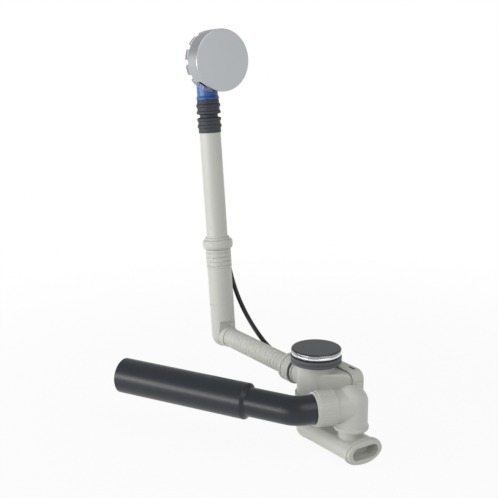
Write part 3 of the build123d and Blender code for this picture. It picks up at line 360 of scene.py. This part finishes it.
drainSeam = seamAt(
    {"Direction": (0.0, 0.0, 1.0), "Offset": -0.048}, colour=tone(150, 150, 150), share=0.6
)
blackLook = dict(
    plasticLook,
    colour=tone(29, 34, 41),
    edgeHighlightColour=tone(78, 82, 86),
    edgeHighlightShare=0.35,
    roughness=0.34,
    specular=0.45,
    driftScale=22.0,
    drift=0.10,
    seams=[drainSeam],
)
rubberLook = dict(
    plasticLook,
    colour=tone(50, 53, 60),
    edgeHighlightColour=tone(82, 85, 92),
    edgeHighlightShare=0.3,
    roughness=0.58,
    drift=0.10,
    driftScale=40.0,
    grainScale=2200.0,
    grainHeight=0.10,
)
gasketLook = dict(rubberLook, colour=tone(86, 90, 93), edgeHighlightColour=tone(104, 108, 110))
blueLook = dict(
    plasticLook,
    colour=tone(53, 98, 168),
    edgeHighlightColour=tone(112, 150, 204),
    roughness=0.30,
    drift=0.05,
)
paleLook = dict(  # translucent
    plasticLook,
    colour=tone(238, 237, 248),
    edgeHighlightColour=tone(246, 246, 251),
    roughness=0.32,
    clear=0.80,
)
innerLook = dict(plasticLook, colour=tone(226, 226, 220), edgeHighlightColour=tone(238, 238, 234), roughness=0.45)
jacketLook = dict(
    plasticLook,
    colour=tone(20, 22, 23),
    edgeHighlightColour=tone(50, 52, 54),
    roughness=0.38,
    specular=0.4,
    drift=0.12,
    driftScale=60.0,
    grainScale=2600.0,
)
chromeLook = {
    "colour": (0.465, 0.480, 0.492, 1.0),
    "drift": 0.03,
    "driftScale": 24.0,
    "roughness": 0.30,
    "roughnessDrift": 0.05,
    "grainScale": 2400.0,
    "grainHeight": 0.02,
    "edgeRadius": 0.0004,
    "bump": 0.1,
    "paintedHighlights": [],
}
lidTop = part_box("valve_lid")[1].z
lidEdgeHighlight = {  # painted highlight: a bright band along the lid's edge, under its top
    "place": {"Direction": (0.0, 0.0, 1.0), "Offset": lidTop - 0.0030, "HalfWidth": 0.0026},
    "colour": (0.44, 0.45, 0.46, 1.0),
    "share": 1.0,
}
# the lid's chrome gets a near-black colour, a painted dark reflection of a dark ceiling, with a painted
# highlight on its edge
lidLook = dict(chromeLook, roughness=0.16, colour=(0.056, 0.063, 0.069, 1.0), paintedHighlights=[lidEdgeHighlight])
# the seat's chrome gets a much brighter colour than the other chrome, a painted bright reflection
seatLook = dict(chromeLook, roughness=0.24, colour=(0.84, 0.84, 0.83, 1.0))
steelLook = dict(chromeLook, colour=(0.50, 0.50, 0.49, 1.0), roughness=0.34, drift=0.08, driftScale=90.0)

blackPlastic = makeMoulded("blackPlastic", blackLook)
rubber = makeMoulded("rubber", rubberLook)
gasketRubber = makeMoulded("gasketRubber", gasketLook)
bluePlastic = makeMoulded("bluePlastic", blueLook)
palePlastic = makeMoulded("palePlastic", paleLook)
innerPlastic = makeMoulded("innerPlastic", innerLook)
cableJacket = makeMoulded("cableJacket", jacketLook)
satinChrome = makeMetal("satinChrome", chromeLook)
lidChrome = makeMetal("lidChrome", lidLook)
seatChrome = makeMetal("seatChrome", seatLook)
steel = makeMetal("steel", steelLook)

plainGrey = greyPlastic("greyPlastic")
acrossX = seamAt({"Direction": (1.0, 0.0, 0.0)})
acrossY = seamAt({"Direction": (0.0, 1.0, 0.0)})
acrossOutlet = seamAt({"Direction": (0.948, 0.317, 0.0), "Offset": 0.074})
sleeveLedge = seamAt(  # short step on the sleeve's outer side, 50 mm over its elbow
    {
        "Direction": (-0.1097, 0.0, 0.9940),
        "Offset": 0.0391,
        "HalfWidth": 0.0006,
        "Side": (-0.2572, -0.9659, -0.0284),
        "From": 0.0729,
    },
    colour=tone(190, 189, 184),
    share=0.8,
)

finishes = {
    "rubber": rubber,
    "blue_plastic": bluePlastic,
    "pale_plastic": palePlastic,
    "inner_plastic": innerPlastic,
    "black_plastic": blackPlastic,
    "cable_black": cableJacket,
    "chrome": satinChrome,
    "steel": steel,
    "grey_plastic": plainGrey,
}
ownFinishes = {
    "waste_body": greyPlastic("greyBody", acrossX),
    "trap": greyPlastic("greyTrap", acrossY),
    "overflow_sleeve": greyPlastic("greySleeve", acrossY, sleeveLedge),
    "outlet_elbow": greyPlastic("greyElbow", acrossOutlet),
    "bath_gasket": gasketRubber,
    "valve_lid": lidChrome,
    "seat_flange": seatChrome,
}
for name, node in nodes.items():
    wanted = ownFinishes.get(name) or finishes[node.material_slots[0].material.name]
    node.material_slots[0].material = wanted
print("finishes set")

# cable, on one smooth line from the drum case to the hood
cableShape = {
    "length": 0.600,  # metres of jacket, between its two ferrules
    "radius": 0.0035,
    "sides": 6,
    "steps": 24,
    "points": [
        (-0.29642, 0.0057, 0.35468),
        (-0.29072, 0.0057, 0.30300),
        (-0.28100, 0.0110, 0.22200),
        (-0.27400, 0.0190, 0.15000),
        (-0.26200, 0.0250, 0.08500),
        (-0.24600, 0.0280, 0.03600),
        (-0.22080, 0.0295, 0.00150),
        (-0.18600, 0.0292, -0.02450),
        (-0.15000, 0.0295, -0.04300),
        (-0.10000, 0.0320, -0.05200),
        (-0.05100, 0.0340, -0.04678),
        (-0.00300, 0.0340, -0.04678),
    ],
}


def plainMesh(holder):  # what an object's modifiers or curve make, as a plain mesh
    bpy.context.view_layer.update()
    return bpy.data.meshes.new_from_object(holder.evaluated_get(bpy.context.evaluated_depsgraph_get()))


def makeCable(shape):
    curve = bpy.data.curves.new("pullCableLine", "CURVE")
    curve.dimensions = "3D"
    line = curve.splines.new("NURBS")
    line.points.add(len(shape["points"]) - 1)
    for point, place in zip(line.points, shape["points"]):
        point.co = (*place, 1.0)
    line.order_u = 3
    line.use_endpoint_u = True
    line.resolution_u = shape["steps"]
    holder = bpy.data.objects.new("pullCableLine", curve)
    bpy.context.scene.collection.objects.link(holder)
    middle = [point.co.copy() for point in plainMesh(holder).vertices]  # the bare line
    curve.bevel_depth = shape["radius"]
    curve.bevel_resolution = shape["sides"]
    curve.use_fill_caps = True
    mesh = plainMesh(holder)
    bpy.data.objects.remove(holder)
    mesh.materials.clear()
    mesh.materials.append(cableJacket)
    for face in mesh.polygons:
        face.use_smooth = True
    cable = bpy.data.objects.new("pullCable", mesh)
    bpy.context.scene.collection.objects.link(cable)
    return cable, middle


pullCable, cableMiddle = makeCable(cableShape)
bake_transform(pullCable)
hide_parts("pull_cable")
print("cable laid")

# ribbed hose, lathed by geometry nodes from a flat grid
hoseLow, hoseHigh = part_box("ribbed_hose")
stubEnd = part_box("overflow_sleeve")[1].x
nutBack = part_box("inlet_nut")[0].x
plainLength = 0.010  # metres without ribs, before the nut
hoseShape = {
    "Start": hoseLow.x,  # metres along X
    "End": hoseHigh.x,
    "RibStart": stubEnd,
    "RibEnd": nutBack - plainLength,
    "PlainEnd": nutBack,
    "Level": (hoseLow.z + hoseHigh.z) / 2,
    "Tail": 0.0125,
    "Root": 0.0136,
    "Crest": (hoseHigh.z - hoseLow.z) / 2,
    "Bore": 0.0108,
    "RibFoot": 0.10,  # where a rib's flank begins and ends, as shares of half a pitch
    "RibTop": 0.62,
    "Weld": 0.00002,
    "Ribs": 18,
    "Steps": 520,
    "Sides": 72,
}


def makeHoseTree():
    tree = bpy.data.node_groups.new("ribbedHose", "GeometryNodeTree")
    for label, value in hoseShape.items():
        kind = "NodeSocketInt" if isinstance(value, int) else "NodeSocketFloat"
        tree.interface.new_socket(label, in_out="INPUT", socket_type=kind)
    tree.interface.new_socket("Finish", in_out="INPUT", socket_type="NodeSocketMaterial")
    tree.interface.new_socket("Geometry", in_out="OUTPUT", socket_type="NodeSocketGeometry")
    given = tree.nodes.new("NodeGroupInput").outputs

    def step(operation, *values):
        return mathStep(tree, operation, *values)

    def between(value, low, high):
        return step("MULTIPLY", step("GREATER_THAN", value, low), step("LESS_THAN", value, high))

    # columns 0 to Steps run along the outside,
    # then two columns come back along the bore and one closes the wall
    grid = tree.nodes.new("GeometryNodeMeshGrid")
    lastColumn = step("ADD", given["Steps"], 3.0)
    feed(tree, grid.inputs["Size X"], 1.0)
    feed(tree, grid.inputs["Size Y"], 1.0)
    feed(tree, grid.inputs["Vertices X"], step("ADD", lastColumn, 1.0))
    feed(tree, grid.inputs["Vertices Y"], step("ADD", given["Sides"], 1.0))
    place = tree.nodes.new("ShaderNodeSeparateXYZ")
    tree.links.new(tree.nodes.new("GeometryNodeInputPosition").outputs[0], place.inputs[0])
    column = step("MULTIPLY", step("ADD", place.outputs["X"], 0.5), lastColumn)
    angle = step("MULTIPLY", step("ADD", place.outputs["Y"], 0.5), math.tau)
    past = step("SUBTRACT", column, given["Steps"])
    isBack = step("GREATER_THAN", past, 1.5)
    isBore = between(past, 0.5, 2.5)
    share = step("MINIMUM", step("DIVIDE", column, given["Steps"]), 1.0)
    share = step("MULTIPLY", share, step("SUBTRACT", 1.0, isBack))
    along = step("MULTIPLY_ADD", share, step("SUBTRACT", given["End"], given["Start"]), given["Start"])
    pitch = step("DIVIDE", step("SUBTRACT", given["RibEnd"], given["RibStart"]), given["Ribs"])
    phase = step("FRACT", step("DIVIDE", step("SUBTRACT", along, given["RibStart"]), pitch))
    rise = step("SUBTRACT", 1.0, step("ABSOLUTE", step("MULTIPLY_ADD", phase, 2.0, -1.0)))
    crest = easeStep(tree, rise, given["RibFoot"], given["RibTop"], given["Root"], given["Crest"])
    onRibs = between(along, given["RibStart"], given["RibEnd"])
    onPlain = between(along, given["RibEnd"], given["PlainEnd"])
    radius = step("MULTIPLY_ADD", onRibs, step("SUBTRACT", crest, given["Tail"]), given["Tail"])
    radius = step("MULTIPLY_ADD", onPlain, step("SUBTRACT", given["Crest"], given["Tail"]), radius)
    radius = step("MULTIPLY_ADD", isBore, step("SUBTRACT", given["Bore"], radius), radius)
    spot = tree.nodes.new("ShaderNodeCombineXYZ")
    feed(tree, spot.inputs["X"], along)
    feed(tree, spot.inputs["Y"], step("MULTIPLY", radius, step("SINE", angle)))
    feed(tree, spot.inputs["Z"], step("MULTIPLY_ADD", radius, step("COSINE", angle), given["Level"]))
    move = tree.nodes.new("GeometryNodeSetPosition")
    tree.links.new(grid.outputs["Mesh"], move.inputs["Geometry"])
    tree.links.new(spot.outputs[0], move.inputs["Position"])
    weld = tree.nodes.new("GeometryNodeMergeByDistance")
    feed(tree, weld.inputs["Distance"], given["Weld"])
    tree.links.new(move.outputs[0], weld.inputs["Geometry"])
    smooth = tree.nodes.new("GeometryNodeSetShadeSmooth")
    tree.links.new(weld.outputs[0], smooth.inputs[0])
    real = tree.nodes.new("GeometryNodeRealizeInstances")
    tree.links.new(smooth.outputs[0], real.inputs[0])
    finish = tree.nodes.new("GeometryNodeSetMaterial")
    tree.links.new(real.outputs[0], finish.inputs["Geometry"])
    tree.links.new(given["Finish"], finish.inputs["Material"])
    tree.links.new(finish.outputs[0], tree.nodes.new("NodeGroupOutput").inputs[0])
    return tree


def growMesh(name, tree, values):  # runs a geometry node tree and keeps its result as a plain mesh
    seed = bpy.data.objects.new(name + "Seed", bpy.data.meshes.new(name + "Seed"))
    bpy.context.scene.collection.objects.link(seed)
    modifier = seed.modifiers.new(name, "NODES")
    modifier.node_group = tree
    for item in tree.interface.items_tree:
        if item.in_out == "INPUT":
            modifier[item.identifier] = values[item.name]
    mesh = plainMesh(seed)
    seed.modifiers.remove(modifier)
    bpy.data.objects.remove(seed)
    work = bmesh.new()
    work.from_mesh(mesh)
    bmesh.ops.recalc_face_normals(work, faces=work.faces)
    work.to_mesh(mesh)
    work.free()
    piece = bpy.data.objects.new(name, mesh)
    bpy.context.scene.collection.objects.link(piece)
    return piece


ribbedHose = growMesh("ribbedHose", makeHoseTree(), dict(hoseShape, Finish=plainGrey))
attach(ribbedHose, "waste")
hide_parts("ribbed_hose")
print("hose made with", len(ribbedHose.data.polygons), "faces")

# stage: white floor, a soft key light, a stronger fill and a low strip for the gloss
stageSetup = {
    "floorLevel": cadBox[0].z - 0.0002,  # just under the part
    "floorSize": 12.0,
    "floorColour": tone(242, 242, 242),
    "floorRoughness": 0.9,
    "floorSpecular": 0.1,
    "cloudScale": 3.0,  # faint unevenness of the floor
    "cloudLow": 0.98,
    "whiteNear": 0.92,  # share of plain white in the floor, by the object and far from it
    "whiteFar": 1.0,
    "nearReach": 0.35,
    "farReach": 1.1,
    "skyLow": 1.0,  # brightness in reflections, at the horizon and overhead
    "skyHigh": 0.60,
    "skyLowAt": 0.05,  # heights between which it changes
    "skyHighAt": 0.24,
    "ambient": 0.35,
}
lampSetup = {
    "key": {"place": (-1.30, -1.65, 0.85), "size": (1.1, 1.1), "power": 9.0, "inMirrors": False},
    "fill": {"place": (1.7, 0.2, 1.5), "size": (1.6, 1.6), "power": 15.5, "inMirrors": True},
    "strip": {"place": (-0.45, -2.0, 0.22), "size": (2.2, 0.62), "power": 23.0, "inMirrors": True},
}
aim = Vector((-0.12, 0.0, 0.12))  # where the lamps point


def makeFloor(setup):
    half = setup["floorSize"] / 2
    level = setup["floorLevel"]
    corners = [(-half, -half, level), (half, -half, level), (half, half, level), (-half, half, level)]
    mesh = bpy.data.meshes.new("floor")
    mesh.from_pydata(corners, [], [(0, 1, 2, 3)])
    floor = bpy.data.objects.new("floor", mesh)
    bpy.context.scene.collection.objects.link(floor)
    material, tree, shader = startMaterial("whiteFloor")
    place = tree.nodes.new("ShaderNodeTexCoord").outputs["Object"]
    cloud = noiseStep(tree, place, setup["cloudScale"])
    paleness = easeStep(tree, cloud, 0.0, 1.0, setup["cloudLow"], 1.0)
    feed(tree, shader["Base Color"], shadeColour(tree, setup["floorColour"], paleness))
    shader["Roughness"].default_value = setup["floorRoughness"]
    shader["Specular IOR Level"].default_value = setup["floorSpecular"]
    glow = tree.nodes.new("ShaderNodeEmission")
    mix = tree.nodes.new("ShaderNodeMixShader")
    rays = tree.nodes.new("ShaderNodeLightPath").outputs
    seen = mathStep(tree, "MAXIMUM", rays["Is Camera Ray"], rays["Is Glossy Ray"])
    seen = mathStep(tree, "MAXIMUM", seen, rays["Is Transmission Ray"])
    reach = vectorStep(tree, "LENGTH", place, (0.0, 0.0, 0.0)).outputs["Value"]
    reaches = (setup["nearReach"], setup["farReach"])
    white = easeStep(tree, reach, *reaches, setup["whiteNear"], setup["whiteFar"])
    feed(tree, mix.inputs[0], mathStep(tree, "MULTIPLY", seen, white))
    tree.links.new(tree.nodes["Principled BSDF"].outputs[0], mix.inputs[1])
    tree.links.new(glow.outputs[0], mix.inputs[2])
    tree.links.new(mix.outputs[0], tree.nodes["Material Output"].inputs["Surface"])
    mesh.materials.append(material)


def makeSky(setup):  # white to the eye, a pale horizon under a dim ceiling in reflections, even elsewhere
    world = bpy.data.worlds.new("studio")
    world.use_nodes = True
    tree = world.node_tree
    background = tree.nodes["Background"]
    way = tree.nodes.new("ShaderNodeTexCoord").outputs["Generated"]
    height = tree.nodes.new("ShaderNodeSeparateXYZ")
    tree.links.new(way, height.inputs[0])
    heights = (setup["skyLowAt"], setup["skyHighAt"])
    ceiling = easeStep(tree, height.outputs["Z"], *heights, setup["skyLow"], setup["skyHigh"])
    rays = tree.nodes.new("ShaderNodeLightPath").outputs
    mirrored = mathStep(tree, "MAXIMUM", rays["Is Glossy Ray"], rays["Is Transmission Ray"])
    inMirror = mathStep(tree, "MULTIPLY", mirrored, ceiling)
    elsewhere = mathStep(tree, "MULTIPLY", mathStep(tree, "SUBTRACT", 1.0, mirrored), setup["ambient"])
    unseen = mathStep(tree, "ADD", inMirror, elsewhere)
    level = tree.nodes.new("ShaderNodeMix")
    feed(tree, level.inputs[0], rays["Is Camera Ray"])
    feed(tree, level.inputs[2], unseen)
    level.inputs[3].default_value = 1.0
    tree.links.new(level.outputs[0], background.inputs["Strength"])
    background.inputs["Color"].default_value = (1.0, 1.0, 1.0, 1.0)
    bpy.context.scene.world = world


def makeLamp(name, setup):
    lamp = bpy.data.lights.new(name, "AREA")
    lamp.shape = "RECTANGLE"
    lamp.size, lamp.size_y = setup["size"]
    lamp.energy = setup["power"]
    holder = bpy.data.objects.new(name, lamp)
    holder.visible_glossy = setup["inMirrors"]
    holder.location = setup["place"]
    holder.rotation_euler = (aim - holder.location).to_track_quat("-Z", "Y").to_euler()
    bpy.context.scene.collection.objects.link(holder)


makeFloor(stageSetup)
makeSky(stageSetup)
for name, setup in lampSetup.items():
    makeLamp(name, setup)
bpy.context.scene.view_settings.view_transform = "Standard"
print("stage set")
